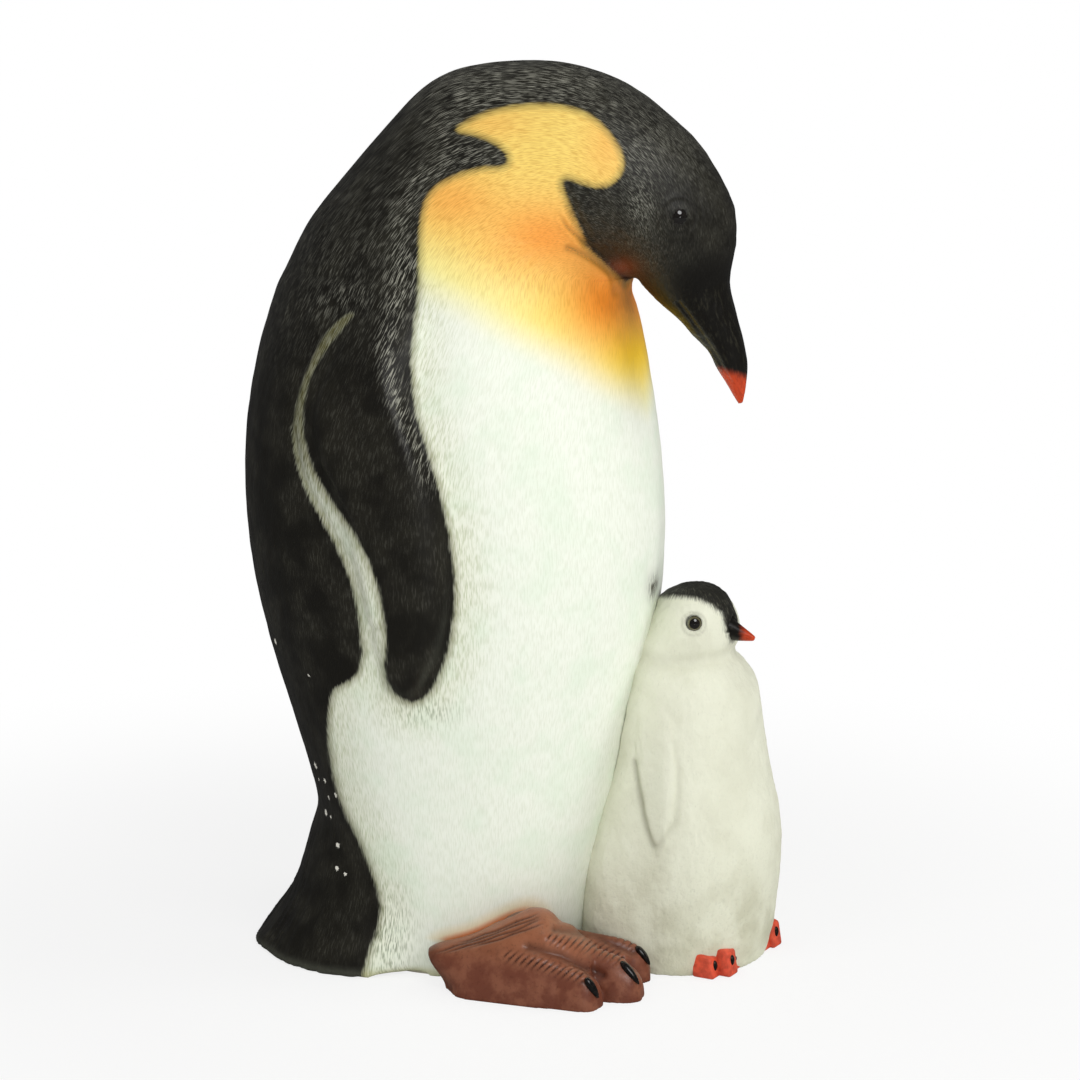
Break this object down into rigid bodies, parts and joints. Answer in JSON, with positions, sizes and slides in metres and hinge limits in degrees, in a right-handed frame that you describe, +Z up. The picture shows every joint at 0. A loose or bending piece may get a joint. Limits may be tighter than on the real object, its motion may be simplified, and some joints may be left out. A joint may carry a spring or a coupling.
{
  "type": "penguin figurine",
  "caption": "Hollow painted resin figurine of a penguin bowing over a chick between its feet, standing on a flat base with a pull-out rubber stopper.",
  "frame": {"origin": "on the ground under the adult's body, on the underside of its base plate", "axes": "+Z up, -Y the way the adult faces, +X the adult's left"},
  "size_m": [0.242, 0.303, 0.5],
  "materials": {
    "white_paint": "matte paint on cast resin",
    "black_paint": "dry-brushed matte paint on cast resin",
    "brown_paint": "satin paint on cast resin",
    "grey_paint": "matte paint on cast resin",
    "red_paint": "satin paint on cast resin",
    "raw_resin": "unpainted cast resin",
    "eye_glass": "polished black glass",
    "steel": "bare",
    "rubber": "matte"
  },
  "bodies": {
    "figurine": {"adult_body": "white_paint", "adult_head": "black_paint", "neck_sleeve": "raw_resin", "adult_bill": "black_paint", "adult_right_eye": "eye_glass", "adult_left_eye": "eye_glass", "right_flipper": "black_paint", "left_flipper": "black_paint", "tail": "black_paint", "right_foot": "brown_paint", "left_foot": "brown_paint", "base_plate": "raw_resin", "chick_body": "grey_paint", "chick_bill": "red_paint", "chick_right_eye": "eye_glass", "chick_left_eye": "eye_glass", "chick_right_flipper": "grey_paint", "chick_left_flipper": "grey_paint", "chick_right_foot": "red_paint", "chick_left_foot": "red_paint", "chick_base_plate": "raw_resin", "dowel_pins": "steel"},
    "stopper": {"fill_plug": "rubber"}
  },
  "joints": [
    {"name": "stopper_pull", "type": "slide", "parent": "figurine", "child": "stopper", "axis": [0, 0, -1], "range_m": [0, 0.016]}
  ]
}
